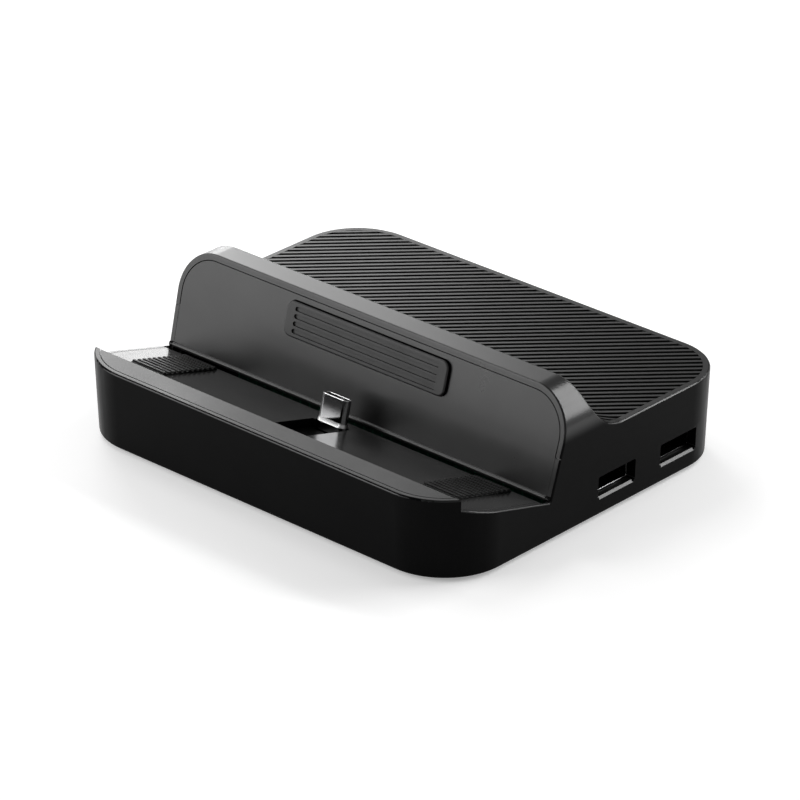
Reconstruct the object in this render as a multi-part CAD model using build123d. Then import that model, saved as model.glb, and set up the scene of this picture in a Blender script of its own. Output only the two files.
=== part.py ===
"""Handheld console dock: a leaning cradle with an upright plug, a ribbed rear deck and sockets.

Millimetres. X runs to the right, Y to the back, Z up from the soles of the feet.
"""
import os
from math import ceil, cos, radians, sin, tan

from build123d import *

os.makedirs("parts", exist_ok=True)

# Body
BODY_WIDTH = 125.7          # outside, at deck height
BODY_DEPTH = 102.8          # outside, at deck height
FRONT_CORNER = 17.6         # plan corners, at deck height
BACK_CORNER = 16.0
DRAFT = 2.1                 # degrees, walls widen upwards
WALL = 2.6
FOOT_PROUD = 0.9            # gap under the body
DECK_Z = 23.2               # rear deck
EDGE_ROUND = 0.5            # outer edges
BASE_ROUND = 0.6            # bottom edge of the walls

# Cradle: lip, floor and backrest
LEAN = 15.4                 # degrees, backrest from upright and floor from level
LIP_Z = 21.3
LIP_DEPTH = 7.45            # front wall to the step down to the floor
LIP_STEP = 2.7              # lip above the floor
LIP_ROUND = 0.2             # edge of the step
FLOOR_LENGTH = 28.8         # along the floor, lip to backrest
BACKREST_HEIGHT = 26.2      # along the backrest, floor to ridge
RIDGE_DEPTH = 6.6           # level band on top of the ridge
RIDGE_THICKNESS = 2.4
SWEEP_RADIUS = 12.0         # hollow curve from the ridge down to the deck
ARCH_RADIUS = 11.0          # rounded ends of the ridge

# Inset panels
HAIRLINE = 0.05             # gap round a panel that lies flush
TRAY_SEAM = 0.25            # visible gap round the tray
TRAY_RIM = 1.35
TRAY_THICKNESS = 2.0
TRAY_SLOT = 2.6             # open slot between floor and backrest
BACKREST_SEAM = 0.22        # visible gap above the tick
BACKREST_RIM = 1.5
BACKREST_THICKNESS = 2.0
BACKREST_LIFT = 0.05        # bottom edge above the floor
BEAD_RADIUS = 0.65          # half-round bead along the bottom edge
TICK_HEIGHT = 10.7          # nick across the rim, along the backrest
TICK_WIDTH = 0.3
TICK_DEPTH = 0.3
DECK_RIM = 1.8
DECK_THICKNESS = 2.2
SHELF_RELIEF = 0.5          # hollow of the housing above a panel's underside

# Ribs of the deck
RIB_PITCH = 2.015
RIB_GROOVE = 1.1
RIB_DEPTH = 1.0
RIB_ANGLE = 45.0

# Pads
PAD_WIDTH = 52.2
PAD_HEIGHT = 8.9
PAD_PROUD = 1.05
PAD_EDGE = 0.5              # rounding of its face
PAD_ROUND = 2.0
PAD_SEAT = 0.6              # pocket in the backrest
PAD_GAP = 0.12              # pocket round the pad
PAD_DROP = 7.7              # along the backrest, ridge to the pad's middle
PAD_GROOVES = 4
PAD_GROOVE_PITCH = 1.85
PAD_GROOVE_WIDTH = 1.1
PAD_GROOVE_DEPTH = 0.5
PAD_GROOVE_MARGIN = 2.8
GRIP_FROM_SIDE = 9.65       # pad's outer edge from the body's side
GRIP_WIDTH = 10.9
GRIP_START = 5.9            # along the floor
GRIP_RIDGES = 11
GRIP_PITCH = 1.76
GRIP_BASE = 0.35
GRIP_PROUD = 0.45           # ridges above the pad's base

# Console plug
PLUG_WIDTH = 8.34
PLUG_THICKNESS = 2.56
PLUG_WALL = 0.35
PLUG_PROUD = 7.0            # above the floor
PLUG_FROM_BACKREST = 7.6    # along the floor, plug's middle to the backrest
PLUG_FOOT_SPREAD = 0.35     # flared foot at the floor, each side
PLUG_FOOT_HEIGHT = 1.2
PLUG_FOOT_TAPER = 15.0      # degrees
PLUG_CLEARANCE = 0.6        # hole in the floor round the plug
CORE_RECESS = 1.0           # insulator below the plug's mouth
CORE_SLOT = (6.6, 0.8)      # slot in the insulator
CORE_SLOT_DEPTH = 3.5
CONTACT_COUNT = 6
CONTACT_PITCH = 0.8
CONTACT_WIDTH = 0.4
CONTACT_THICKNESS = 0.15
CONTACT_LENGTH = 2.9
RECESS_WIDTH = 10.4
RECESS_DEPTH = 2.2
RECESS_WALL = 1.6
CARRIER_HEIGHT = 2.0
CARRIER_MARGIN = 2.2
PLUG_BOARD = (26.0, 10.0, 1.0)
PLUG_SCREW_X = 10.0
PLUG_POST_RADIUS = 2.2

# Boards and base
BASE_THICKNESS = 1.6
FIT = 0.15                  # running clearance between fitted pieces
BOARD_THICKNESS = 1.6
BOARD_Z = 5.65              # upper face of the main board
BOARD_DEPTH = 55.2
BOARD_CLEARANCE = 0.7       # board to the inside of the walls
BOARD_SCREW_INSET = 5.5
PILLAR_RADIUS = 3.0
POST_RADIUS = 3.8
POST_TOP = 10.0
POST_BITE = 0.1             # post into the wall, at its top

# Screws and feet
SCREW_SHANK = 1.1
SCREW_HEAD = 2.3
SCREW_HEAD_HEIGHT = 1.1
SCREW_LENGTH = 5.0
SMALL_SHANK = 0.85
SMALL_HEAD = 1.7
SMALL_HEAD_HEIGHT = 0.9
SMALL_LENGTH = 2.4
DRIVE_LENGTH = 2.8
DRIVE_WIDTH = 0.5
DRIVE_DEPTH = 0.5
FOOT_RADIUS = 5.0
FOOT_SEAT = 0.6
FOOT_INSET = (20.85, 16.4)  # foot's middle from the body's side and end

# Sockets
SOCKET_FROM_BACK = 21.1     # rear side socket's middle from the body's back
SOCKET_SPACING = 22.55
SOCKET_SIZE = (13.1, 5.3)   # side socket, outside of the metal shell
SOCKET_DEPTH = 13.5
SOCKET_SHEET = 0.3
SOCKET_ROUND = 0.5
SIDE_SET_BACK = 2.5         # side sockets behind the face of the wall
REAR_SET_BACK = 0.6         # video and power socket behind the face of the wall
SILL = 0.55                 # bevel on the lower edge of a side opening
SOCKET_TONGUE = (11.1, 1.7, 9.0)
SOCKET_TONGUE_RISE = 0.7    # above the middle of the mouth
TONGUE_RECESS = 1.0         # tongue behind its mouth
STRIP_COUNT = 4
STRIP_PITCH = 2.4
STRIP_WIDTH = 1.0
STRIP_THICKNESS = 0.2
STRIP_LENGTH = 8.0
VIDEO_SIZE = (15.0, 5.6)
VIDEO_DEPTH = 11.0
VIDEO_X = -13.0
VIDEO_TONGUE = (10.6, 1.3, 7.0)
VIDEO_TONGUE_RISE = 0.4
POWER_SIZE = (9.0, 3.3)
POWER_DEPTH = 7.6
POWER_X = 13.0
POWER_TONGUE = (6.7, 0.7, 5.0)
SOCKET_GAP = 0.15           # wall opening round a shell
CHIP_HEIGHT = 1.0
HUB_CHIP = 9.0
HUB_FROM_SIDE = 36.4        # from the board's right edge
VIDEO_CHIP = 7.0
VIDEO_FROM_BACK = 23.2      # from the board's rear edge

SLOPE = tan(radians(DRAFT))
LEAN_SIN, LEAN_COS = sin(radians(LEAN)), cos(radians(LEAN))
LIP_BACK_Y = LIP_DEPTH - BODY_DEPTH / 2
FLOOR_Z = LIP_Z - LIP_STEP
PLUG_ALONG = FLOOR_LENGTH - PLUG_FROM_BACKREST
FAR = BODY_WIDTH            # beyond every outside face
DIAGONAL = sin(radians(45))
SEAM_ANGLE = 20.0           # faces that meet at less are one smooth surface
LOW = (Align.CENTER, Align.CENTER, Align.MIN)
HIGH = (Align.CENTER, Align.CENTER, Align.MAX)

FLOOR = Plane(origin=(0, LIP_BACK_Y, FLOOR_Z), x_dir=(1, 0, 0), z_dir=(0, LEAN_SIN, LEAN_COS))


def floor_point(along, height=0.0):
    """Side-view place of a point on the floor, some way above it."""
    y = LIP_BACK_Y + along * LEAN_COS + height * LEAN_SIN
    z = FLOOR_Z - along * LEAN_SIN + height * LEAN_COS
    return (y, z)


BACKREST_FOOT = floor_point(FLOOR_LENGTH)
BACKREST = Plane(origin=(0, *BACKREST_FOOT), x_dir=(1, 0, 0), z_dir=(0, -LEAN_COS, LEAN_SIN))
BACKREST_SIDE = Plane(origin=BACKREST.origin, x_dir=BACKREST.y_dir, z_dir=(1, 0, 0))
RIDGE_FRONT_Y, RIDGE_Z = floor_point(FLOOR_LENGTH, BACKREST_HEIGHT)
RIDGE_BACK_Y = RIDGE_FRONT_Y + RIDGE_DEPTH
SWEEP_Y, SWEEP_Z = RIDGE_BACK_Y + SWEEP_RADIUS, DECK_Z + SWEEP_RADIUS
TOP = 2 * RIDGE_Z           # clear above the ridge


def wall_x(z):
    """Half width of the body at a height."""
    return BODY_WIDTH / 2 - (DECK_Z - z) * SLOPE


def wall_y(z):
    """Half depth of the body at a height."""
    return BODY_DEPTH / 2 - (DECK_Z - z) * SLOPE


def wall_block(inset, bottom, top):
    """Block inside the drafted walls, some way in from their outside."""
    drop = (DECK_Z - bottom) * SLOPE + inset
    outline = Rectangle(BODY_WIDTH - 2 * drop, BODY_DEPTH - 2 * drop)
    outline = fillet(outline.vertices().group_by(Axis.Y)[0], FRONT_CORNER - drop)
    outline = fillet(outline.vertices().group_by(Axis.Y)[-1], BACK_CORNER - drop)
    return extrude(Plane.XY.offset(bottom) * outline, top - bottom, taper=-DRAFT)


def arch_block(inset):
    """Long block with the front view of the ridge: drafted sides and rounded upper ends."""
    low, high = 0.0, RIDGE_Z - inset
    half_low, half_high = wall_x(low) - inset, wall_x(high) - inset
    outline = make_face(Polyline(
        (-half_low, low), (half_low, low), (half_high, high), (-half_high, high), close=True))
    outline = fillet(outline.vertices().group_by(Axis.Y)[-1], ARCH_RADIUS - inset)
    return extrude(Plane.XZ * outline, FAR, both=True)


def section(*points):
    """Solid with a side-view outline, running the whole width."""
    return extrude(Plane.YZ * make_face(Polyline(*points, close=True)), FAR, both=True)


def deck_space(depth):
    """Everything above the deck and its hollow sweep, sunk by a depth."""
    radius = SWEEP_RADIUS + depth
    start = (SWEEP_Y - radius, SWEEP_Z)
    end = (SWEEP_Y, SWEEP_Z - radius)
    middle = (SWEEP_Y - radius * DIAGONAL, SWEEP_Z - radius * DIAGONAL)
    corners = [end, (FAR, end[1]), (FAR, FAR), (RIDGE_BACK_Y, FAR), start]
    if depth > 0:
        corners.insert(4, (RIDGE_BACK_Y, SWEEP_Z))
    outline = Polyline(*corners)
    face = make_face(outline + ThreePointArc(start, middle, end))
    return extrude(Plane.YZ * face, FAR, both=True)


def cradle_space(tray, back):
    """Everything above the lip and floor and before the backrest, sunk into both."""
    lip_y = LIP_BACK_Y - tray
    turn = FLOOR_LENGTH + back
    return section(
        (-FAR, FAR), (-FAR, LIP_Z - tray), (lip_y, LIP_Z - tray),
        (lip_y, FLOOR_Z - tray / LEAN_COS - (lip_y - LIP_BACK_Y) * LEAN_SIN / LEAN_COS),
        floor_point(turn, -tray), floor_point(turn, BACKREST_HEIGHT + FAR))


def pill(width, height):
    return SlotOverall(width, height)


def tube(outline, hollow, depth):
    return extrude(outline, depth) - extrude(hollow, depth)


def screw(shank, length, head, head_height):
    """Pan-head screw, its seat at the origin, pointing up."""
    body = Pos(0, 0, -head_height) * Cylinder(head, head_height, align=LOW)
    return body + Cylinder(shank, length, align=LOW)


nodes = {}

# Outer form of the body, before it is hollowed
envelope = wall_block(0, FOOT_PROUD, TOP) & arch_block(0)
envelope -= cradle_space(0, 0)
envelope -= deck_space(0)
envelope = fillet(envelope.edges().group_by(Axis.Z)[0], BASE_ROUND)


def is_rim(edge):
    """True of a sharp outer edge, and not of a smooth seam or an end of the lip's step."""
    sides = [face for face in envelope.faces() if any(side.is_same(edge) for side in face.edges())]
    angle = sides[0].normal_at(edge @ 0.5).get_angle(sides[1].normal_at(edge @ 0.5))
    return angle > SEAM_ANGLE and abs(edge.center().Y - LIP_BACK_Y) > EDGE_ROUND


rims = [edge for edge in envelope.edges() if edge.center().Z > BACKREST_FOOT[1] / 2 and is_rim(edge)]
envelope = fillet(rims, EDGE_ROUND)

# Hollow inside and seats for the three panels
tray_seat = wall_block(TRAY_RIM, FOOT_PROUD, TOP) & cradle_space(TRAY_THICKNESS, 0)
back_slab = BACKREST * Pos(0, -TRAY_THICKNESS, -BACKREST_THICKNESS) * Box(
    2 * FAR, 2 * FAR, 2 * BACKREST_THICKNESS, align=(Align.CENTER, Align.MIN, Align.MIN))
back_seat = arch_block(BACKREST_RIM) & back_slab
deck_seat = wall_block(DECK_RIM, FOOT_PROUD, TOP) & arch_block(DECK_RIM) & deck_space(DECK_THICKNESS)

hollow = wall_block(WALL, 0, TOP) & arch_block(WALL)
hollow -= cradle_space(TRAY_THICKNESS - SHELF_RELIEF, BACKREST_THICKNESS - SHELF_RELIEF)
hollow -= deck_space(DECK_THICKNESS - SHELF_RELIEF)
ridge_roof = Pos(0, (RIDGE_FRONT_Y + RIDGE_BACK_Y) / 2, RIDGE_Z - RIDGE_THICKNESS) * Box(
    2 * FAR, 3 * RIDGE_DEPTH, FAR, align=LOW)
hollow -= ridge_roof

housing = envelope - hollow - tray_seat - back_seat - deck_seat

# Rim of the backrest: slot before it, nick across it and the ends of the bead
slot_half = wall_x(BACKREST_FOOT[1]) - EDGE_ROUND
housing -= FLOOR * Pos(0, FLOOR_LENGTH, 0) * Box(
    2 * slot_half, TRAY_SLOT, 2 * TRAY_THICKNESS, align=(Align.CENTER, Align.MAX, Align.CENTER))
housing -= BACKREST * Pos(0, TICK_HEIGHT) * Box(FAR, TICK_WIDTH, 2 * TICK_DEPTH)
bead_low, bead_high = (BACKREST_LIFT, 0), (BACKREST_LIFT + 2 * BEAD_RADIUS, 0)
bead_arc = ThreePointArc(bead_low, (BACKREST_LIFT + BEAD_RADIUS, BEAD_RADIUS), bead_high)
bead = extrude(BACKREST_SIDE * make_face(bead_arc + Line(bead_high, bead_low)), FAR, both=True)
housing += bead & (arch_block(EDGE_ROUND) - arch_block(BACKREST_RIM))

# Screw posts in the four corners
post_places = []
for end, radius in ((-1, FRONT_CORNER), (1, BACK_CORNER)):
    reach = radius - (DECK_Z - POST_TOP) * SLOPE - WALL - POST_RADIUS + POST_BITE
    post_x = BODY_WIDTH / 2 - radius + reach * DIAGONAL
    post_y = BODY_DEPTH / 2 - radius + reach * DIAGONAL
    post_places += [(-post_x, end * post_y), (post_x, end * post_y)]
base_top = FOOT_PROUD + BASE_THICKNESS
for x, y in post_places:
    housing += Pos(x, y, base_top) * Cylinder(POST_RADIUS, POST_TOP - base_top, align=LOW)
for x, y in post_places:
    housing -= Pos(x, y, base_top) * Cylinder(SCREW_SHANK, SCREW_LENGTH, align=LOW)

# Wall openings for the sockets
socket_z = BOARD_Z + SOCKET_SIZE[1] / 2
rear_socket_y = BODY_DEPTH / 2 - SOCKET_FROM_BACK
side_sockets = {"front": rear_socket_y - SOCKET_SPACING, "rear": rear_socket_y}
opening_size = [side + 2 * SOCKET_GAP for side in SOCKET_SIZE]
sill_z = socket_z - opening_size[1] / 2
sill_x = wall_x(sill_z) - SILL
sill_face = make_face(Polyline(
    (sill_x, sill_z), (sill_x + 2 * SILL, sill_z - 2 * SILL), (sill_x + 2 * SILL, sill_z), close=True))
sill = extrude(Plane.XZ * sill_face, opening_size[0] / 2 - SOCKET_ROUND, both=True)
for y in side_sockets.values():
    opening = Plane.YZ.offset(BODY_WIDTH / 2 - 3 * WALL) * Pos(y, socket_z) * RectangleRounded(
        *opening_size, SOCKET_ROUND)
    housing -= extrude(opening, FAR)
    housing -= Pos(0, y, 0) * sill
video_z = BOARD_Z + VIDEO_SIZE[1] / 2
power_z = BOARD_Z + POWER_SIZE[1] / 2
REAR = Plane(origin=(0, BODY_DEPTH / 2 - 3 * WALL, 0), x_dir=(-1, 0, 0), z_dir=(0, 1, 0))
video_hole = RectangleRounded(VIDEO_SIZE[0] + 2 * SOCKET_GAP, VIDEO_SIZE[1] + 2 * SOCKET_GAP, SOCKET_ROUND)
housing -= extrude(REAR * Pos(-VIDEO_X, video_z) * video_hole, FAR)
power_hole = pill(POWER_SIZE[0] + 2 * SOCKET_GAP, POWER_SIZE[1] + 2 * SOCKET_GAP)
housing -= extrude(REAR * Pos(-POWER_X, power_z) * power_hole, FAR)
nodes["housing"] = housing

# Ribbed deck panel
deck = wall_block(DECK_RIM + HAIRLINE, FOOT_PROUD, TOP) & arch_block(DECK_RIM + HAIRLINE)
deck &= deck_space(DECK_THICKNESS)
deck -= deck_space(0)
deck -= Pos(0, RIDGE_BACK_Y, SWEEP_Z - HAIRLINE) * Box(FAR, FAR, FAR, align=LOW)
slots = []
rib_count = ceil((BODY_WIDTH + BODY_DEPTH) / 2 * DIAGONAL / RIB_PITCH)
for step in range(-rib_count, rib_count + 1):
    slot = Box(2 * FAR, RIB_GROOVE, TOP, align=LOW)
    slots.append(Rot(0, 0, RIB_ANGLE) * Pos(0, step * RIB_PITCH, 0) * slot)
nodes["deck_panel"] = deck - (deck_space(RIB_DEPTH) & (Part() + slots))

# Cradle tray: lip, floor and the recess in front of the plug
tray = wall_block(TRAY_RIM + TRAY_SEAM, FOOT_PROUD, TOP) & cradle_space(TRAY_THICKNESS, 0)
tray -= cradle_space(0, 0)
pan_length = PLUG_ALONG + PLUG_THICKNESS / 2 + PLUG_CLEARANCE + RECESS_WALL
pan = FLOOR * Pos(0, pan_length / 2, -RECESS_DEPTH - RECESS_WALL) * Box(
    RECESS_WIDTH + 2 * RECESS_WALL, pan_length, RECESS_DEPTH + RECESS_WALL - TRAY_THICKNESS / 2, align=LOW)
tray += pan
for x in (-PLUG_SCREW_X, PLUG_SCREW_X):
    post = Pos(x, PLUG_ALONG, -RECESS_DEPTH - RECESS_WALL - CARRIER_HEIGHT) * Cylinder(
        PLUG_POST_RADIUS, CARRIER_HEIGHT + RECESS_DEPTH + RECESS_WALL - TRAY_THICKNESS / 2, align=LOW)
    hole = Pos(x, PLUG_ALONG, -RECESS_DEPTH - RECESS_WALL - CARRIER_HEIGHT) * Cylinder(
        SMALL_SHANK, SMALL_LENGTH, align=LOW)
    tray += FLOOR * post
    tray -= FLOOR * hole
recess_end = PLUG_ALONG - PLUG_THICKNESS / 2
tray -= FLOOR * Pos(0, recess_end / 2, -RECESS_DEPTH) * Box(RECESS_WIDTH, recess_end, FAR, align=LOW)
plug_hole = pill(PLUG_WIDTH + 2 * PLUG_CLEARANCE, PLUG_THICKNESS + 2 * PLUG_CLEARANCE)
tray -= FLOOR * Pos(0, PLUG_ALONG) * extrude(plug_hole, FAR, both=True)
tray -= FLOOR * Pos(0, FLOOR_LENGTH - TRAY_SLOT, -FAR / 2) * Box(
    2 * FAR, FAR, FAR, align=(Align.CENTER, Align.MIN, Align.MIN))
lip_edges = [edge for edge in tray.edges().filter_by(Axis.X)
             if abs(edge.center().Y - LIP_BACK_Y) < FIT and edge.center().Z > LIP_Z - FIT]
nodes["cradle_tray"] = fillet(lip_edges, LIP_ROUND)

# Backrest panel: an open seam round its upper part, flush below the tick, and a pocket for the pad
panel_side = bead_arc + Polyline(
    bead_high, (FAR, 0), (FAR, -BACKREST_THICKNESS), (BACKREST_LIFT, -BACKREST_THICKNESS), bead_low)
panel = extrude(BACKREST_SIDE * make_face(panel_side), FAR, both=True)
below_tick = BACKREST * Pos(0, TICK_HEIGHT) * Box(
    2 * FAR, FAR, FAR, align=(Align.CENTER, Align.MAX, Align.CENTER))
backrest = panel & arch_block(BACKREST_RIM + BACKREST_SEAM)
backrest += panel & below_tick & arch_block(BACKREST_RIM + HAIRLINE)
PAD = BACKREST * Pos(0, BACKREST_HEIGHT - PAD_DROP, -PAD_SEAT)
pocket = RectangleRounded(PAD_WIDTH + 2 * PAD_GAP, PAD_HEIGHT + 2 * PAD_GAP, PAD_ROUND + PAD_GAP)
backrest -= PAD * extrude(pocket, FAR)
nodes["backrest_panel"] = backrest

# Soft pads
pad_top = PAD_SEAT + PAD_PROUD
pad = extrude(RectangleRounded(PAD_WIDTH, PAD_HEIGHT, PAD_ROUND), pad_top)
pad = fillet(pad.edges().group_by(Axis.Z)[-1], PAD_EDGE)
for row in range(PAD_GROOVES):
    rise = (row - (PAD_GROOVES - 1) / 2) * PAD_GROOVE_PITCH
    groove = pill(PAD_WIDTH - 2 * PAD_GROOVE_MARGIN, PAD_GROOVE_WIDTH)
    pad -= Pos(0, rise, pad_top - PAD_GROOVE_DEPTH) * extrude(groove, PAD_PROUD)
nodes["backrest_pad"] = PAD * pad

grip_length = GRIP_RIDGES * GRIP_PITCH
grip = Box(GRIP_WIDTH, grip_length, GRIP_BASE, align=LOW)
for row in range(GRIP_RIDGES):
    place = (row - (GRIP_RIDGES - 1) / 2) * GRIP_PITCH
    ridge = Box(GRIP_WIDTH, GRIP_PITCH / 2, GRIP_PROUD, align=LOW)
    grip += Pos(0, place, GRIP_BASE) * ridge
grip_x = BODY_WIDTH / 2 - GRIP_FROM_SIDE - GRIP_WIDTH / 2
grip_along = GRIP_START + grip_length / 2
nodes["grip_pad_left"] = FLOOR * Pos(-grip_x, grip_along) * grip
nodes["grip_pad_right"] = FLOOR * Pos(grip_x, grip_along) * grip

# Console plug on its carrier and small board
carrier_top = -RECESS_DEPTH - RECESS_WALL
carrier_bottom = carrier_top - CARRIER_HEIGHT
plug_length = PLUG_PROUD - carrier_bottom
plug_outline = pill(PLUG_WIDTH, PLUG_THICKNESS)
plug_hollow = pill(PLUG_WIDTH - 2 * PLUG_WALL, PLUG_THICKNESS - 2 * PLUG_WALL)
PLUG = FLOOR * Pos(0, PLUG_ALONG, carrier_bottom)
foot_outline = pill(PLUG_WIDTH + 2 * PLUG_FOOT_SPREAD, PLUG_THICKNESS + 2 * PLUG_FOOT_SPREAD)
plug_foot = Pos(0, 0, -carrier_bottom) * extrude(foot_outline, PLUG_FOOT_HEIGHT, taper=PLUG_FOOT_TAPER)
plug_shell = extrude(plug_outline, plug_length) + plug_foot
nodes["plug_shell"] = PLUG * (plug_shell - extrude(plug_hollow, plug_length))
core_length = plug_length - CORE_RECESS
slot_floor = core_length - CORE_SLOT_DEPTH
core = extrude(plug_hollow, core_length)
core -= Pos(0, 0, slot_floor) * extrude(pill(*CORE_SLOT), FAR)
contacts = []
for row in range(CONTACT_COUNT):
    place = (row - (CONTACT_COUNT - 1) / 2) * CONTACT_PITCH
    strip = Box(CONTACT_WIDTH, CONTACT_THICKNESS, CONTACT_LENGTH, align=LOW)
    for side in (-1, 1):
        offset = side * (CORE_SLOT[1] - CONTACT_THICKNESS) / 2
        contacts.append(Pos(place, offset, slot_floor) * strip)
nodes["plug_core"] = PLUG * core
nodes["plug_contacts"] = PLUG * (Part() + contacts)
carrier_size = (PLUG_WIDTH + 2 * CARRIER_MARGIN, PLUG_THICKNESS + 2 * CARRIER_MARGIN)
carrier = Box(*carrier_size, CARRIER_HEIGHT, align=LOW) - extrude(plug_outline, FAR)
nodes["plug_carrier"] = PLUG * carrier
board = Box(*PLUG_BOARD, align=HIGH)
small_screws = Part()
for x in (-PLUG_SCREW_X, PLUG_SCREW_X):
    board -= Pos(x, 0, 0) * Cylinder(SMALL_SHANK, FAR)
    small_screws += Pos(x, 0, -PLUG_BOARD[2]) * screw(
        SMALL_SHANK, SMALL_LENGTH, SMALL_HEAD, SMALL_HEAD_HEIGHT)
nodes["plug_board"] = PLUG * board
nodes["plug_screws"] = PLUG * small_screws

# Base plate, screws and feet
base = wall_block(WALL + FIT, FOOT_PROUD, base_top)
drive = Box(DRIVE_LENGTH, DRIVE_WIDTH, 2 * DRIVE_DEPTH) + Box(DRIVE_WIDTH, DRIVE_LENGTH, 2 * DRIVE_DEPTH)
base_screws = Part()
for x, y in post_places:
    base -= Pos(x, y, FOOT_PROUD) * Cylinder(SCREW_HEAD + FIT, SCREW_HEAD_HEIGHT, align=LOW)
    base -= Pos(x, y, FOOT_PROUD) * Cylinder(SCREW_SHANK + FIT, FAR, align=LOW)
    base_screws += Pos(x, y, FOOT_PROUD + SCREW_HEAD_HEIGHT) * screw(
        SCREW_SHANK, SCREW_LENGTH, SCREW_HEAD, SCREW_HEAD_HEIGHT)
    base_screws -= Pos(x, y, FOOT_PROUD) * drive
foot_x, foot_y = BODY_WIDTH / 2 - FOOT_INSET[0], BODY_DEPTH / 2 - FOOT_INSET[1]
foot_names = {(-1, -1): "foot_front_left", (1, -1): "foot_front_right",
              (-1, 1): "foot_back_left", (1, 1): "foot_back_right"}
for (side, end), name in foot_names.items():
    foot = Pos(side * foot_x, end * foot_y, 0) * Cylinder(FOOT_RADIUS, FOOT_PROUD + FOOT_SEAT, align=LOW)
    base -= foot
    nodes[name] = foot
board_bottom = BOARD_Z - BOARD_THICKNESS
board_half = BODY_WIDTH / 2 - BACK_CORNER
board_right = wall_x(board_bottom) - WALL - BOARD_CLEARANCE
board_back = wall_y(board_bottom) - WALL - BOARD_CLEARANCE
board_front = board_back - BOARD_DEPTH
screw_x = board_half - BOARD_SCREW_INSET
screw_ends = (board_front + BOARD_SCREW_INSET, board_back - BOARD_SCREW_INSET)
board_screw_places = [(x, y) for x in (-screw_x, screw_x) for y in screw_ends]
board_screws = Part()
for x, y in board_screw_places:
    base += Pos(x, y, base_top) * Cylinder(PILLAR_RADIUS, board_bottom - base_top, align=LOW)
    base -= Pos(x, y, board_bottom) * Cylinder(SMALL_SHANK, SMALL_LENGTH - BOARD_THICKNESS, align=HIGH)
    board_screws += Pos(x, y, BOARD_Z) * Rot(180, 0, 0) * screw(
        SMALL_SHANK, SMALL_LENGTH, SMALL_HEAD, SMALL_HEAD_HEIGHT)
nodes["base_plate"] = base
nodes["base_screws"] = base_screws
nodes["board_screws"] = board_screws

# Main board and its parts
board_step = post_y - POST_RADIUS - 2 * FIT
board_face = make_face(Polyline(
    (-board_half, board_front), (board_right, board_front), (board_right, board_step),
    (board_half, board_step), (board_half, board_back), (-board_half, board_back), close=True))
main_board = extrude(Plane.XY.offset(board_bottom) * board_face, BOARD_THICKNESS)
for x, y in board_screw_places:
    main_board -= Pos(x, y, BOARD_Z) * Cylinder(SMALL_SHANK, FAR)
nodes["main_board"] = main_board
hub_place = (board_right - HUB_FROM_SIDE, rear_socket_y - SOCKET_SPACING / 2, BOARD_Z)
nodes["hub_chip"] = Pos(*hub_place) * Box(HUB_CHIP, HUB_CHIP, CHIP_HEIGHT, align=LOW)
video_place = (VIDEO_X, board_back - VIDEO_FROM_BACK, BOARD_Z)
nodes["video_chip"] = Pos(*video_place) * Box(VIDEO_CHIP, VIDEO_CHIP, CHIP_HEIGHT, align=LOW)


def socket(mouth, outline, hollow, depth, tongue, tongue_rise):
    """Metal shell with a closed plastic back and a tongue; the mouth's plane looks out of the wall."""
    inward = Pos(0, 0, -depth)
    shell = mouth * inward * tube(outline, hollow, depth)
    back = extrude(hollow, depth - tongue[2] - TONGUE_RECESS)
    blade = Pos(0, tongue_rise, 0) * Box(tongue[0], tongue[1], depth - TONGUE_RECESS, align=LOW)
    return shell, mouth * inward * (back + blade)


def rounded_sheet(size):
    """Outer and inner outline of a folded metal shell."""
    inside = [side - 2 * SOCKET_SHEET for side in size]
    return RectangleRounded(*size, SOCKET_ROUND), RectangleRounded(*inside, SOCKET_ROUND - SOCKET_SHEET)


for name, y in side_sockets.items():
    mouth_x = wall_x(socket_z) - SIDE_SET_BACK
    mouth = Plane(origin=(mouth_x, y, socket_z), x_dir=(0, 1, 0), z_dir=(1, 0, 0))
    shell, core = socket(
        mouth, *rounded_sheet(SOCKET_SIZE), SOCKET_DEPTH, SOCKET_TONGUE, SOCKET_TONGUE_RISE)
    strips = []
    under = SOCKET_TONGUE_RISE - SOCKET_TONGUE[1] / 2
    for row in range(STRIP_COUNT):
        place = (row - (STRIP_COUNT - 1) / 2) * STRIP_PITCH
        strip = Box(STRIP_WIDTH, STRIP_THICKNESS, STRIP_LENGTH, align=(Align.CENTER, Align.MAX, Align.MIN))
        strips.append(Pos(place, under, -SOCKET_TONGUE[2] - TONGUE_RECESS) * strip)
    nodes[f"side_socket_shell_{name}"] = shell
    nodes[f"side_socket_tongue_{name}"] = core
    nodes[f"side_socket_strips_{name}"] = mouth * (Part() + strips)

rear_face = wall_y(video_z) - REAR_SET_BACK
mouth = Plane(origin=(VIDEO_X, rear_face, video_z), x_dir=(-1, 0, 0), z_dir=(0, 1, 0))
nodes["video_socket_shell"], nodes["video_socket_tongue"] = socket(
    mouth, *rounded_sheet(VIDEO_SIZE), VIDEO_DEPTH, VIDEO_TONGUE, VIDEO_TONGUE_RISE)
mouth = Plane(origin=(POWER_X, rear_face, power_z), x_dir=(-1, 0, 0), z_dir=(0, 1, 0))
power_inside = pill(POWER_SIZE[0] - 2 * SOCKET_SHEET, POWER_SIZE[1] - 2 * SOCKET_SHEET)
nodes["power_socket_shell"], nodes["power_socket_tongue"] = socket(
    mouth, pill(*POWER_SIZE), power_inside, POWER_DEPTH, POWER_TONGUE, 0)

for name, shape in nodes.items():
    export_step(shape, f"parts/{name}.step")
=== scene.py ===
"""Studio picture of a handheld console dock: black moulded body, ribbed deck, soft pads, bright plug.

Metres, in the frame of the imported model: X to the right, Y to the back, Z up from the soles.
"""
from math import cos, pi, radians, sin

import bpy
from mathutils import Matrix, Vector


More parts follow.
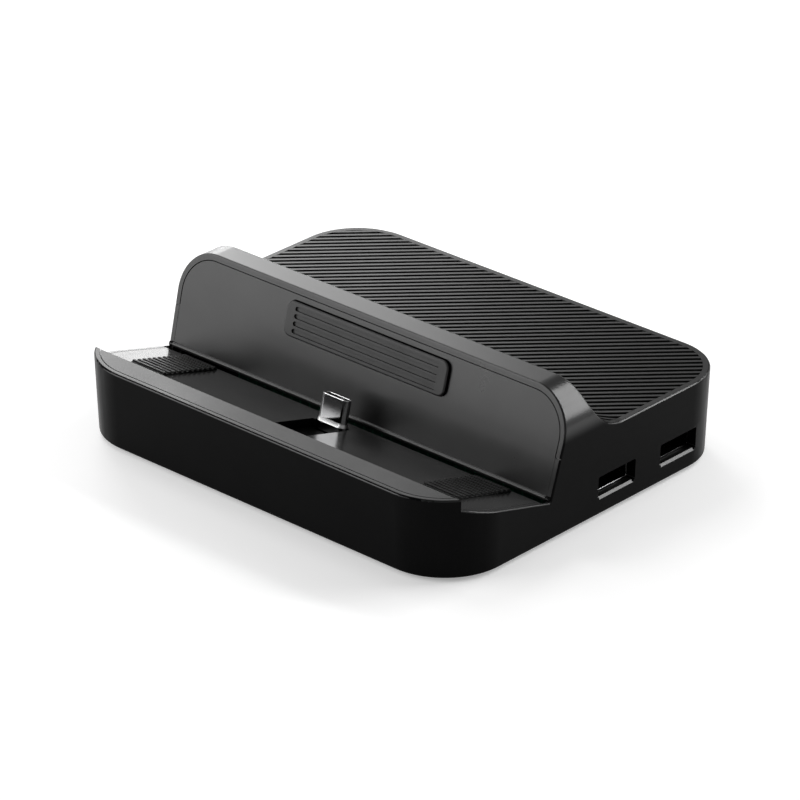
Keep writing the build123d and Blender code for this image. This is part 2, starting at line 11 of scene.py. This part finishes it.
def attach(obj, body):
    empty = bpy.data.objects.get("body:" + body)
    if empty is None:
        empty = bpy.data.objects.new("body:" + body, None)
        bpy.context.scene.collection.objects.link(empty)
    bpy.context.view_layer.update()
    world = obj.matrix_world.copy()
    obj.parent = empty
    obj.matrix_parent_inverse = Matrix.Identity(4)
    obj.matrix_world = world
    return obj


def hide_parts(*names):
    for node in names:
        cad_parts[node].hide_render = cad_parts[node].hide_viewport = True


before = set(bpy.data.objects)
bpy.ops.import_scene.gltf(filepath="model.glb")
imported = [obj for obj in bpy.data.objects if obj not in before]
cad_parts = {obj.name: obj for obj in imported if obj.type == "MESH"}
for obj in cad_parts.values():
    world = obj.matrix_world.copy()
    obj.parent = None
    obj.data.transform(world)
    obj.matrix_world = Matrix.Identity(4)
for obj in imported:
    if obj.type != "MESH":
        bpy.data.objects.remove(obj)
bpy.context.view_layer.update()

MM = 0.001

# Camera, at the photograph's place, with lens and sensor in Blender's millimetres
AZIMUTH = radians(42.56)
ELEVATION = radians(26.383)
DISTANCE = 1157.4 * MM
TARGET = Vector((1.194, -1.029, 11.533)) * MM
LENS = 216.08
SENSOR = 36.0
CLIP_END = 20.0
TO_CAMERA = Vector((sin(AZIMUTH) * cos(ELEVATION), -cos(AZIMUTH) * cos(ELEVATION), sin(ELEVATION)))

# Copies of the solids
MERGE = 0.0005 * MM
PLUG_MERGE = 0.05 * MM          # takes in the small step at the plug's foot
FLAT = radians(0.6)
SHARP = radians(32.0)
EDGE_SEGMENTS = 2
FLAT_FACE_WEIGHT = 100
TRAY_SPREAD = 1.0012            # across the width, closes the tray's side seams

# Width of the broken edges
PANEL_EDGE = 0.18 * MM
TRAY_EDGE = 0.16 * MM
PLUG_EDGE = 0.13 * MM
BACKREST_EDGE = 0.12 * MM
PAD_EDGE = 0.1 * MM
SIDE_SOCKET_EDGE = 0.1 * MM
FINE_EDGE = 0.06 * MM
FOOT_EDGE = 0.3 * MM


def activate(piece):
    """Leaves one object selected and active."""
    bpy.ops.object.select_all(action="DESELECT")
    piece.select_set(True)
    bpy.context.view_layer.objects.active = piece


def finished_copy(node, edge_round, merge):
    """Copies a solid, merges its triangles into clean faces and breaks its sharp edges."""
    piece = bpy.data.objects.new(f"{node}_finished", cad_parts[node].data.copy())
    bpy.context.scene.collection.objects.link(piece)
    activate(piece)
    bpy.ops.mesh.customdata_custom_splitnormals_clear()
    bpy.ops.object.mode_set(mode="EDIT")
    bpy.ops.mesh.select_all(action="SELECT")
    bpy.ops.mesh.remove_doubles(threshold=merge)
    bpy.ops.mesh.dissolve_limited(angle_limit=FLAT)
    bpy.ops.object.mode_set(mode="OBJECT")
    rounding = piece.modifiers.new("broken edges", "BEVEL")
    rounding.width = edge_round
    rounding.segments = EDGE_SEGMENTS
    rounding.limit_method = "ANGLE"
    rounding.angle_limit = SHARP
    rounding.miter_outer = "MITER_ARC"
    bpy.ops.object.modifier_apply(modifier=rounding.name)
    bpy.ops.object.shade_smooth()
    weighting = piece.modifiers.new("flat faces", "WEIGHTED_NORMAL")
    weighting.weight = FLAT_FACE_WEIGHT
    bpy.ops.object.modifier_apply(modifier=weighting.name)
    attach(piece, "root")
    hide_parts(node)
    return piece


def close_seams(tray):
    """Spreads the tray's copy a little to both sides."""
    for vertex in tray.data.vertices:
        vertex.co.x *= TRAY_SPREAD


# Patterns
PATTERN_LOW = 0.3               # most of a cloudy pattern lies between these two
PATTERN_HIGH = 0.7


def new_finish(name):
    """Empty principled finish, with its node tree's parts and object coordinates."""
    finish = bpy.data.materials.new(name)
    finish.use_nodes = True
    nodes = finish.node_tree.nodes
    place = nodes.new("ShaderNodeTexCoord").outputs["Object"]
    return finish, nodes, finish.node_tree.links, nodes["Principled BSDF"], place


def noise(nodes, links, place, size, detail=3.0):
    """Cloudy pattern whose features are about a size across."""
    texture = nodes.new("ShaderNodeTexNoise")
    texture.inputs["Scale"].default_value = 1.0 / size
    texture.inputs["Detail"].default_value = detail
    links.new(place, texture.inputs["Vector"])
    return texture.outputs["Fac"]


def spread(nodes, links, value, low, high):
    """Maps the middle of a pattern to a range."""
    mapped = nodes.new("ShaderNodeMapRange")
    mapped.inputs["From Min"].default_value = PATTERN_LOW
    mapped.inputs["From Max"].default_value = PATTERN_HIGH
    mapped.inputs["To Min"].default_value = low
    mapped.inputs["To Max"].default_value = high
    links.new(value, mapped.inputs["Value"])
    return mapped.outputs["Result"]


def shade(tone, share):
    """Darker or lighter shade of a tone."""
    return [share * part for part in tone]


def two_tones(nodes, links, value, dark, light):
    """Colour that wanders between two tones."""
    ramp = nodes.new("ShaderNodeValToRGB")
    ramp.color_ramp.elements[0].position = PATTERN_LOW
    ramp.color_ramp.elements[1].position = PATTERN_HIGH
    ramp.color_ramp.elements[0].color = (*dark, 1.0)
    ramp.color_ramp.elements[1].color = (*light, 1.0)
    links.new(value, ramp.inputs["Fac"])
    return ramp.outputs["Color"]


def raise_surface(nodes, links, shader, height, distance, strength=1.0):
    """Bumps the surface by a height pattern."""
    bump = nodes.new("ShaderNodeBump")
    bump.inputs["Distance"].default_value = distance
    bump.inputs["Strength"].default_value = strength
    links.new(height, bump.inputs["Height"])
    links.new(bump.outputs["Normal"], shader.inputs["Normal"])


# Moulded plastic
CLOUD_SIZE = 9.0 * MM
CLOUD_DARK = 0.85               # shares of the tone
CLOUD_LIGHT = 1.15
SHEEN_SIZE = 14.0 * MM
SHEEN_STEP = 0.03               # of roughness, up and down
GRAIN_SIZE = 0.22 * MM
GRAIN_DEPTH = 0.004 * MM
COARSE_GRAIN_SIZE = 0.4 * MM
COARSE_GRAIN_DEPTH = 0.02 * MM
POLISH_ROUGHNESS = 0.29
POLISH_IOR = 1.5


def polish_above(nodes, links, shader, place, low, high):
    """Clear gloss that comes in between two heights."""
    axes = nodes.new("ShaderNodeSeparateXYZ")
    links.new(place, axes.inputs["Vector"])
    rise = nodes.new("ShaderNodeMapRange")
    rise.interpolation_type = "SMOOTHSTEP"
    rise.inputs["From Min"].default_value = low
    rise.inputs["From Max"].default_value = high
    links.new(axes.outputs["Z"], rise.inputs["Value"])
    links.new(rise.outputs["Result"], shader.inputs["Coat Weight"])
    shader.inputs["Coat Roughness"].default_value = POLISH_ROUGHNESS
    shader.inputs["Coat IOR"].default_value = POLISH_IOR


def moulded_plastic(name, tone, roughness, gloss, grain=GRAIN_SIZE, depth=GRAIN_DEPTH, polish=None):
    """Black moulded plastic with a fine spark-eroded grain and a slow change of gloss."""
    finish, nodes, links, shader, place = new_finish(name)
    clouds = noise(nodes, links, place, CLOUD_SIZE)
    colour = two_tones(nodes, links, clouds, shade(tone, CLOUD_DARK), shade(tone, CLOUD_LIGHT))
    links.new(colour, shader.inputs["Base Color"])
    sheen = noise(nodes, links, place, SHEEN_SIZE, detail=5.0)
    dullness = spread(nodes, links, sheen, roughness - SHEEN_STEP, roughness + SHEEN_STEP)
    links.new(dullness, shader.inputs["Roughness"])
    raise_surface(nodes, links, shader, noise(nodes, links, place, grain, detail=2.0), depth)
    shader.inputs["Specular IOR Level"].default_value = gloss
    if polish:
        polish_above(nodes, links, shader, place, *polish)
    return finish


# Soft rubber
BLOOM_SIZE = 4.0 * MM
BLOOM_DARK = 0.8                # shares of the tone
BLOOM_LIGHT = 1.3
BLOOM_STEP = 0.05               # of roughness, up and down
PORE_SIZE = 0.3 * MM
PORE_DEPTH = 0.01 * MM
PORE_STRENGTH = 0.6


def soft_rubber(name, tone, roughness, gloss):
    """Matt rubber with pores and a dusty bloom."""
    finish, nodes, links, shader, place = new_finish(name)
    bloom = noise(nodes, links, place, BLOOM_SIZE, detail=6.0)
    colour = two_tones(nodes, links, bloom, shade(tone, BLOOM_DARK), shade(tone, BLOOM_LIGHT))
    links.new(colour, shader.inputs["Base Color"])
    dullness = spread(nodes, links, bloom, roughness - BLOOM_STEP, roughness + BLOOM_STEP)
    links.new(dullness, shader.inputs["Roughness"])
    pores = nodes.new("ShaderNodeTexVoronoi")
    pores.inputs["Scale"].default_value = 1.0 / PORE_SIZE
    links.new(place, pores.inputs["Vector"])
    raise_surface(nodes, links, shader, pores.outputs["Distance"], PORE_DEPTH, PORE_STRENGTH)
    shader.inputs["Specular IOR Level"].default_value = gloss
    return finish


# Drawn metal
HAIRLINE_SIZE = 0.15 * MM
HAIRLINE_DEPTH = 0.0005 * MM
HAIRLINE_SMOOTH = 0.7           # shares of roughness
HAIRLINE_ROUGH = 1.3
TARNISH_SIZE = 3.0 * MM
TARNISH_DARK = 0.9              # share of the tone
HAIRLINES_UP = (1.0, 1.0, 0.06)
HAIRLINES_ALONG_X = (0.06, 1.0, 1.0)


def drawn_metal(name, tone, roughness, along):
    """Bright drawn metal with hairlines along one axis and faint clouding."""
    finish, nodes, links, shader, place = new_finish(name)
    stretch = nodes.new("ShaderNodeMapping")
    stretch.inputs["Scale"].default_value = along
    links.new(place, stretch.inputs["Vector"])
    hairlines = noise(nodes, links, stretch.outputs["Vector"], HAIRLINE_SIZE, detail=4.0)
    tarnish = noise(nodes, links, place, TARNISH_SIZE)
    colour = two_tones(nodes, links, tarnish, shade(tone, TARNISH_DARK), tone)
    links.new(colour, shader.inputs["Base Color"])
    dullness = spread(nodes, links, hairlines, HAIRLINE_SMOOTH * roughness, HAIRLINE_ROUGH * roughness)
    links.new(dullness, shader.inputs["Roughness"])
    raise_surface(nodes, links, shader, hairlines, HAIRLINE_DEPTH)
    shader.inputs["Metallic"].default_value = 1.0
    return finish


# Board laminate
TRACK_PITCH = 6.0 * MM
TRACK_SHARE = 0.04
SOLDER_MASK = (0.004, 0.03, 0.016, 1.0)
PALER_MASK = (0.005, 0.036, 0.02, 1.0)
TRACK_TONE = (0.012, 0.08, 0.045, 1.0)
WEAVE_SIZE = 0.5 * MM
WEAVE_DEPTH = 0.01 * MM
WEAVE_ROUGHNESS = (0.28, 0.42)


def board_laminate(name):
    """Dark solder mask over a woven laminate, with paler tracks."""
    finish, nodes, links, shader, place = new_finish(name)
    tracks = nodes.new("ShaderNodeTexBrick")
    tracks.inputs["Scale"].default_value = 1.0 / TRACK_PITCH
    tracks.inputs["Mortar Size"].default_value = TRACK_SHARE
    tracks.inputs["Color1"].default_value = SOLDER_MASK
    tracks.inputs["Color2"].default_value = PALER_MASK
    tracks.inputs["Mortar"].default_value = TRACK_TONE
    links.new(place, tracks.inputs["Vector"])
    links.new(tracks.outputs["Color"], shader.inputs["Base Color"])
    weave = noise(nodes, links, place, WEAVE_SIZE)
    links.new(spread(nodes, links, weave, *WEAVE_ROUGHNESS), shader.inputs["Roughness"])
    raise_surface(nodes, links, shader, weave, WEAVE_DEPTH)
    return finish


# Heights between which the housing's ridge takes on its gloss
SHOULDER = (24.5 * MM, 28.5 * MM)

# Finishes by the record's slots: name, tone, roughness and, for plastic and rubber, gloss
FINISHES = {
    "shell_plastic": moulded_plastic("black_shell", (0.002, 0.002, 0.0021), 0.32, 0.036, polish=SHOULDER),
    "deck_plastic": moulded_plastic("black_deck", (0.009, 0.009, 0.009), 0.34, 0.4),
    "tray_plastic": moulded_plastic("black_tray", (0.026, 0.026, 0.026), 0.22, 0.12),
    "backrest_plastic": moulded_plastic("black_backrest", (0.016, 0.016, 0.016), 0.3, 0.5),
    "base_plastic": moulded_plastic("black_base", (0.006, 0.006, 0.006), 0.5, 0.2,
                                    COARSE_GRAIN_SIZE, COARSE_GRAIN_DEPTH),
    "socket_plastic": moulded_plastic("black_insulator", (0.005, 0.005, 0.005), 0.4, 0.2),
    "chip_plastic": moulded_plastic("black_chip", (0.01, 0.01, 0.011), 0.5, 0.3),
    "pad_rubber": soft_rubber("black_pad", (0.02, 0.02, 0.02), 0.5, 0.5),
    "foot_rubber": soft_rubber("black_foot", (0.012, 0.012, 0.012), 0.7, 0.3),
    "plug_metal": drawn_metal("bright_plug", (0.8, 0.8, 0.81), 0.07, HAIRLINES_UP),
    "socket_metal": drawn_metal("bright_socket", (0.7, 0.7, 0.71), 0.45, HAIRLINES_ALONG_X),
    "contact_metal": drawn_metal("gilt_contact", (0.8, 0.56, 0.25), 0.22, HAIRLINES_ALONG_X),
    "screw_steel": drawn_metal("black_screw", (0.25, 0.25, 0.26), 0.35, HAIRLINES_UP),
    "board_laminate": board_laminate("green_board"),
}

# Finishes of single faces or pieces within those slots
POLISHED = moulded_plastic("black_polish", (0.004, 0.004, 0.004), 0.3, 0.5)
# Near-black, rough, barely glossy finish: painted shade for the recess before the plug and for the backrest
# pad's sides and groove walls
PAINTED_SHADE = moulded_plastic("painted_shade_black", (0.002, 0.002, 0.002), 0.6, 0.03)
# Dark metal for the side sockets' shells away from their mouths' lower edges: painted shade
SOCKET_PAINTED_SHADE = drawn_metal("shaded_socket", (0.06, 0.06, 0.06), 0.3, HAIRLINES_ALONG_X)
FOOT_METAL = drawn_metal("dull_plug_foot", (0.8, 0.8, 0.8), 0.34, HAIRLINES_UP)
GRIP_FINISH = soft_rubber("black_grip", (0.008, 0.008, 0.008), 0.5, 0.25)

# Faces of the cradle and the deck
LEAN = radians(15.4)
BACKREST_FACING = Vector((0.0, -cos(LEAN), sin(LEAN)))
FLOOR_FACING = Vector((0.0, sin(LEAN), cos(LEAN)))
LIP_BACK_Y = -43.95 * MM
DECK_FRONT_Y = 0.0
FLOOR_FRONT = Vector((0.0, LIP_BACK_Y, 18.6 * MM))
RECESS_HALF = 5.3 * MM          # across, from the middle
RECESS_TOP = -0.1 * MM          # over the floor
PLUG_FOOT_TOP = 1.25 * MM       # over the floor
MOUTH_DEPTH = 0.3 * MM          # of a side socket's bright edge
SILL_HEIGHT = 0.6 * MM

# How far a face's normal goes along a direction
FACE_AGREES = 0.97
EDGE_TILT = 0.35
SIDE_TILT = 0.3
FOOT_TILT = 0.1


def coat(piece, finish):
    """Gives a piece a finish within a slot."""
    piece.data.materials.clear()
    piece.data.materials.append(finish)


def coat_faces(piece, finish_of):
    """Gives each face of a piece the finish that a rule names for it."""
    finishes = piece.data.materials
    for face in piece.data.polygons:
        finish = finish_of(face)
        if finish.name not in finishes:
            finishes.append(finish)
        face.material_index = finishes.find(finish.name)


def over_floor(face):
    """Height of a face's middle over the cradle's sloping floor."""
    return (face.center - FLOOR_FRONT).dot(FLOOR_FACING)


def on_outer_edge(face):
    """Tells whether a face rounds an edge from the top to the left or right side."""
    outward = face.normal.x if face.center.x > 0.0 else -face.normal.x
    return min(outward, face.normal.z) > EDGE_TILT


def housing_finish(face):
    """Rims take the glossier finish of the panels that they frame, whose paler tone is painted light on these
    upward and forward faces; outer edges below the ridge are polished.
    """
    level = face.normal.z > FACE_AGREES
    below_ridge = face.center.z < SHOULDER[0]
    on_lip = level and face.center.y < LIP_BACK_Y
    if face.normal.dot(BACKREST_FACING) > FACE_AGREES:
        return FINISHES["backrest_plastic"]
    if on_lip or face.normal.dot(FLOOR_FACING) > FACE_AGREES:
        return FINISHES["tray_plastic"]
    if level and below_ridge and face.center.y > DECK_FRONT_Y:
        return FINISHES["deck_plastic"]
    if below_ridge and on_outer_edge(face):
        return POLISHED
    return FINISHES["shell_plastic"]


def tray_finish(face):
    """The recess before the plug is painted near-black as shade, and outer edges are polished."""
    if over_floor(face) < RECESS_TOP and abs(face.center.x) < RECESS_HALF:
        return PAINTED_SHADE
    return POLISHED if on_outer_edge(face) else FINISHES["tray_plastic"]


def pad_finish(face):
    """The backrest pad's sides and groove walls are painted near-black as shade."""
    return PAINTED_SHADE if face.normal.dot(BACKREST_FACING) < SIDE_TILT else FINISHES["pad_rubber"]


def plug_finish(face):
    """The plug's flared foot is duller than its shell."""
    on_foot = over_floor(face) < PLUG_FOOT_TOP and face.normal.dot(FLOOR_FACING) > FOOT_TILT
    return FOOT_METAL if on_foot else FINISHES["plug_metal"]


def side_socket_rule(socket):
    """Rule for a side socket's shell: bright metal at its mouth's lower edge, and painted dark elsewhere as
    shade.
    """
    mouth = max(vertex.co.x for vertex in socket.data.vertices) - MOUTH_DEPTH
    sill = min(vertex.co.z for vertex in socket.data.vertices) + SILL_HEIGHT

    def side_socket_finish(face):
        inside = face.center.x < mouth or face.center.z > sill
        return SOCKET_PAINTED_SHADE if inside else FINISHES["socket_metal"]

    return side_socket_finish


# Pieces in view: slot and width of the broken edges
SHOWN = {
    "housing": ("shell_plastic", PANEL_EDGE),
    "deck_panel": ("deck_plastic", FINE_EDGE),
    "cradle_tray": ("tray_plastic", TRAY_EDGE),
    "backrest_panel": ("backrest_plastic", BACKREST_EDGE),
    "backrest_pad": ("pad_rubber", PAD_EDGE),
    "grip_pad_left": ("pad_rubber", PAD_EDGE),
    "grip_pad_right": ("pad_rubber", PAD_EDGE),
    "plug_shell": ("plug_metal", PLUG_EDGE),
    "plug_core": ("socket_plastic", FINE_EDGE),
    "side_socket_shell_front": ("socket_metal", SIDE_SOCKET_EDGE),
    "side_socket_shell_rear": ("socket_metal", SIDE_SOCKET_EDGE),
    "side_socket_tongue_front": ("socket_plastic", FINE_EDGE),
    "side_socket_tongue_rear": ("socket_plastic", FINE_EDGE),
    "video_socket_shell": ("socket_metal", FINE_EDGE),
    "video_socket_tongue": ("socket_plastic", FINE_EDGE),
    "power_socket_shell": ("socket_metal", FINE_EDGE),
    "power_socket_tongue": ("socket_plastic", FINE_EDGE),
    "base_plate": ("base_plastic", PANEL_EDGE),
    "base_screws": ("screw_steel", FINE_EDGE),
    "foot_front_left": ("foot_rubber", FOOT_EDGE),
    "foot_front_right": ("foot_rubber", FOOT_EDGE),
    "foot_back_left": ("foot_rubber", FOOT_EDGE),
    "foot_back_right": ("foot_rubber", FOOT_EDGE),
}
# Pieces inside the body keep their solids
INSIDE = {
    "plug_contacts": "contact_metal",
    "plug_carrier": "socket_plastic",
    "plug_board": "board_laminate",
    "plug_screws": "screw_steel",
    "side_socket_strips_front": "contact_metal",
    "side_socket_strips_rear": "contact_metal",
    "main_board": "board_laminate",
    "hub_chip": "chip_plastic",
    "video_chip": "chip_plastic",
    "board_screws": "screw_steel",
}
# Pieces whose faces differ in finish
FACE_RULES = {
    "housing": housing_finish,
    "cradle_tray": tray_finish,
    "backrest_pad": pad_finish,
    "plug_shell": plug_finish,
}

for node, (slot, edge_round) in SHOWN.items():
    piece = finished_copy(node, edge_round, PLUG_MERGE if node == "plug_shell" else MERGE)
    coat(piece, GRIP_FINISH if node.startswith("grip") else FINISHES[slot])
    if node == "cradle_tray":
        close_seams(piece)
    if node in FACE_RULES:
        coat_faces(piece, FACE_RULES[node])
    elif node.startswith("side_socket_shell"):
        coat_faces(piece, side_socket_rule(piece))
for node, slot in INSIDE.items():
    for material_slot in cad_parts[node].material_slots:
        material_slot.material = FINISHES[slot]

# Studio
WHITE = (1.0, 1.0, 1.0, 1.0)
FLOOR_SIZE = 12.0
PAPER_CLOUD = 0.4
PAPER_DARK = (0.9, 0.9, 0.9)
PAPER_LIGHT = (0.92, 0.92, 0.92)
PAPER_ROUGHNESS = 0.9
PAPER_GLOW = 0.3
AMBIENT = 0.25
LAMP_DISTANCE = 0.6

# Directions from the dock: the one that level faces mirror to the camera, and the picture's horizontal
MIRRORED = Vector((-TO_CAMERA.x, -TO_CAMERA.y, TO_CAMERA.z))
ASIDE = Vector((cos(AZIMUTH), sin(AZIMUTH), 0.0))


def glow_when_seen(nodes, links, glow):
    """Glow for rays that show a surface, straight, mirrored or through glass, and none for what it lights."""
    rays = nodes.new("ShaderNodeLightPath")
    shown = rays.outputs["Is Camera Ray"]
    for kind in ("Is Glossy Ray", "Is Transmission Ray"):
        either = nodes.new("ShaderNodeMath")
        either.operation = "MAXIMUM"
        links.new(shown, either.inputs[0])
        links.new(rays.outputs[kind], either.inputs[1])
        shown = either.outputs["Value"]
    level = nodes.new("ShaderNodeMapRange")
    level.inputs["To Max"].default_value = glow
    links.new(shown, level.inputs["Value"])
    return level.outputs["Result"]


def studio_floor():
    """Wide pale floor at the soles."""
    bpy.ops.object.select_all(action="DESELECT")
    bpy.ops.mesh.primitive_plane_add(size=FLOOR_SIZE)
    floor = bpy.context.active_object
    floor.name = "studio_floor"
    finish, nodes, links, shader, place = new_finish("floor_paper")
    paper = noise(nodes, links, place, PAPER_CLOUD, detail=2.0)
    links.new(two_tones(nodes, links, paper, PAPER_DARK, PAPER_LIGHT), shader.inputs["Base Color"])
    shader.inputs["Roughness"].default_value = PAPER_ROUGHNESS
    shader.inputs["Specular IOR Level"].default_value = 0.0
    shader.inputs["Emission Color"].default_value = WHITE
    links.new(glow_when_seen(nodes, links, PAPER_GLOW), shader.inputs["Emission Strength"])
    floor.data.materials.append(finish)


def studio_sky():
    """Even surround."""
    world = bpy.data.worlds.new("studio_sky")
    world.use_nodes = True
    bpy.context.scene.world = world
    background = world.node_tree.nodes["Background"]
    background.inputs["Color"].default_value = WHITE
    background.inputs["Strength"].default_value = AMBIENT


def softbox(name, way, along, length, width, radiance, shift=0.0, distance=LAMP_DISTANCE):
    """Oblong lamp that stands one way from the dock and faces it, shifted along its length's direction."""
    lamp = bpy.data.lights.new(name, "AREA")
    lamp.shape = "RECTANGLE"
    lamp.size = length
    lamp.size_y = width
    lamp.energy = radiance * pi * length * width
    holder = bpy.data.objects.new(name, lamp)
    bpy.context.scene.collection.objects.link(holder)
    behind = Vector(way).normalized()
    run = Vector(along)
    across = (run - behind * run.dot(behind)).normalized()
    holder.location = TARGET + distance * behind + shift * run
    holder.rotation_euler = Matrix((across, behind.cross(across), behind)).transposed().to_euler()


def studio_lamps():
    """Softboxes behind the dock for the light on its top and edges, and weaker ones for its walls."""
    softbox("back_left_softbox", MIRRORED, ASIDE, length=0.2, width=0.25, radiance=7.2, shift=-0.175)
    softbox("back_left_fill", MIRRORED, ASIDE, length=0.098, width=0.25, radiance=2.3, shift=-0.026)
    softbox("back_right_fill", MIRRORED, ASIDE, length=0.07, width=0.25, radiance=0.5, shift=0.06)
    softbox("back_left_low", (-0.63, 0.77, 0.06), (0.77, 0.63, 0.0),
            length=0.15, width=0.08, radiance=7.0, shift=-0.075)
    softbox("back_right_strip", (0.58, 0.66, 0.48), (0.52, 0.0, -0.54),
            length=0.4, width=0.08, radiance=14.0)
    softbox("back_high_strip", (0.174, 0.658, 0.733), (1.0, 0.0, -0.09),
            length=0.2, width=0.08, radiance=12.0)
    softbox("back_softbox", (0.25, 0.89, 0.38), (1.0, 0.0, 0.0),
            length=0.12, width=0.1, radiance=6.0)
    softbox("front_left_softbox", (-0.606, -0.7, 0.33), (0.757, -0.655, 0.0),
            length=0.45, width=0.4, radiance=3.6)
    softbox("left_softbox", (-0.967, 0.046, 0.244), (0.0, 1.0, 0.0),
            length=0.2, width=0.2, radiance=1.8)
    softbox("overhead_left", (-0.6, -0.04, 0.8), (0.8, 0.0, 0.6),
            length=0.2, width=0.2, radiance=3.0, distance=0.5)


def studio_camera():
    """Camera on the photograph's line of sight."""
    lens = bpy.data.cameras.new("studio_camera")
    lens.lens = LENS
    lens.sensor_width = SENSOR
    lens.clip_end = CLIP_END
    holder = bpy.data.objects.new("studio_camera", lens)
    bpy.context.scene.collection.objects.link(holder)
    holder.location = TARGET + TO_CAMERA * DISTANCE
    holder.rotation_euler = (-TO_CAMERA).to_track_quat("-Z", "Y").to_euler()
    bpy.context.scene.camera = holder


studio_floor()
studio_sky()
studio_lamps()
studio_camera()
bpy.context.scene.view_settings.view_transform = "Standard"
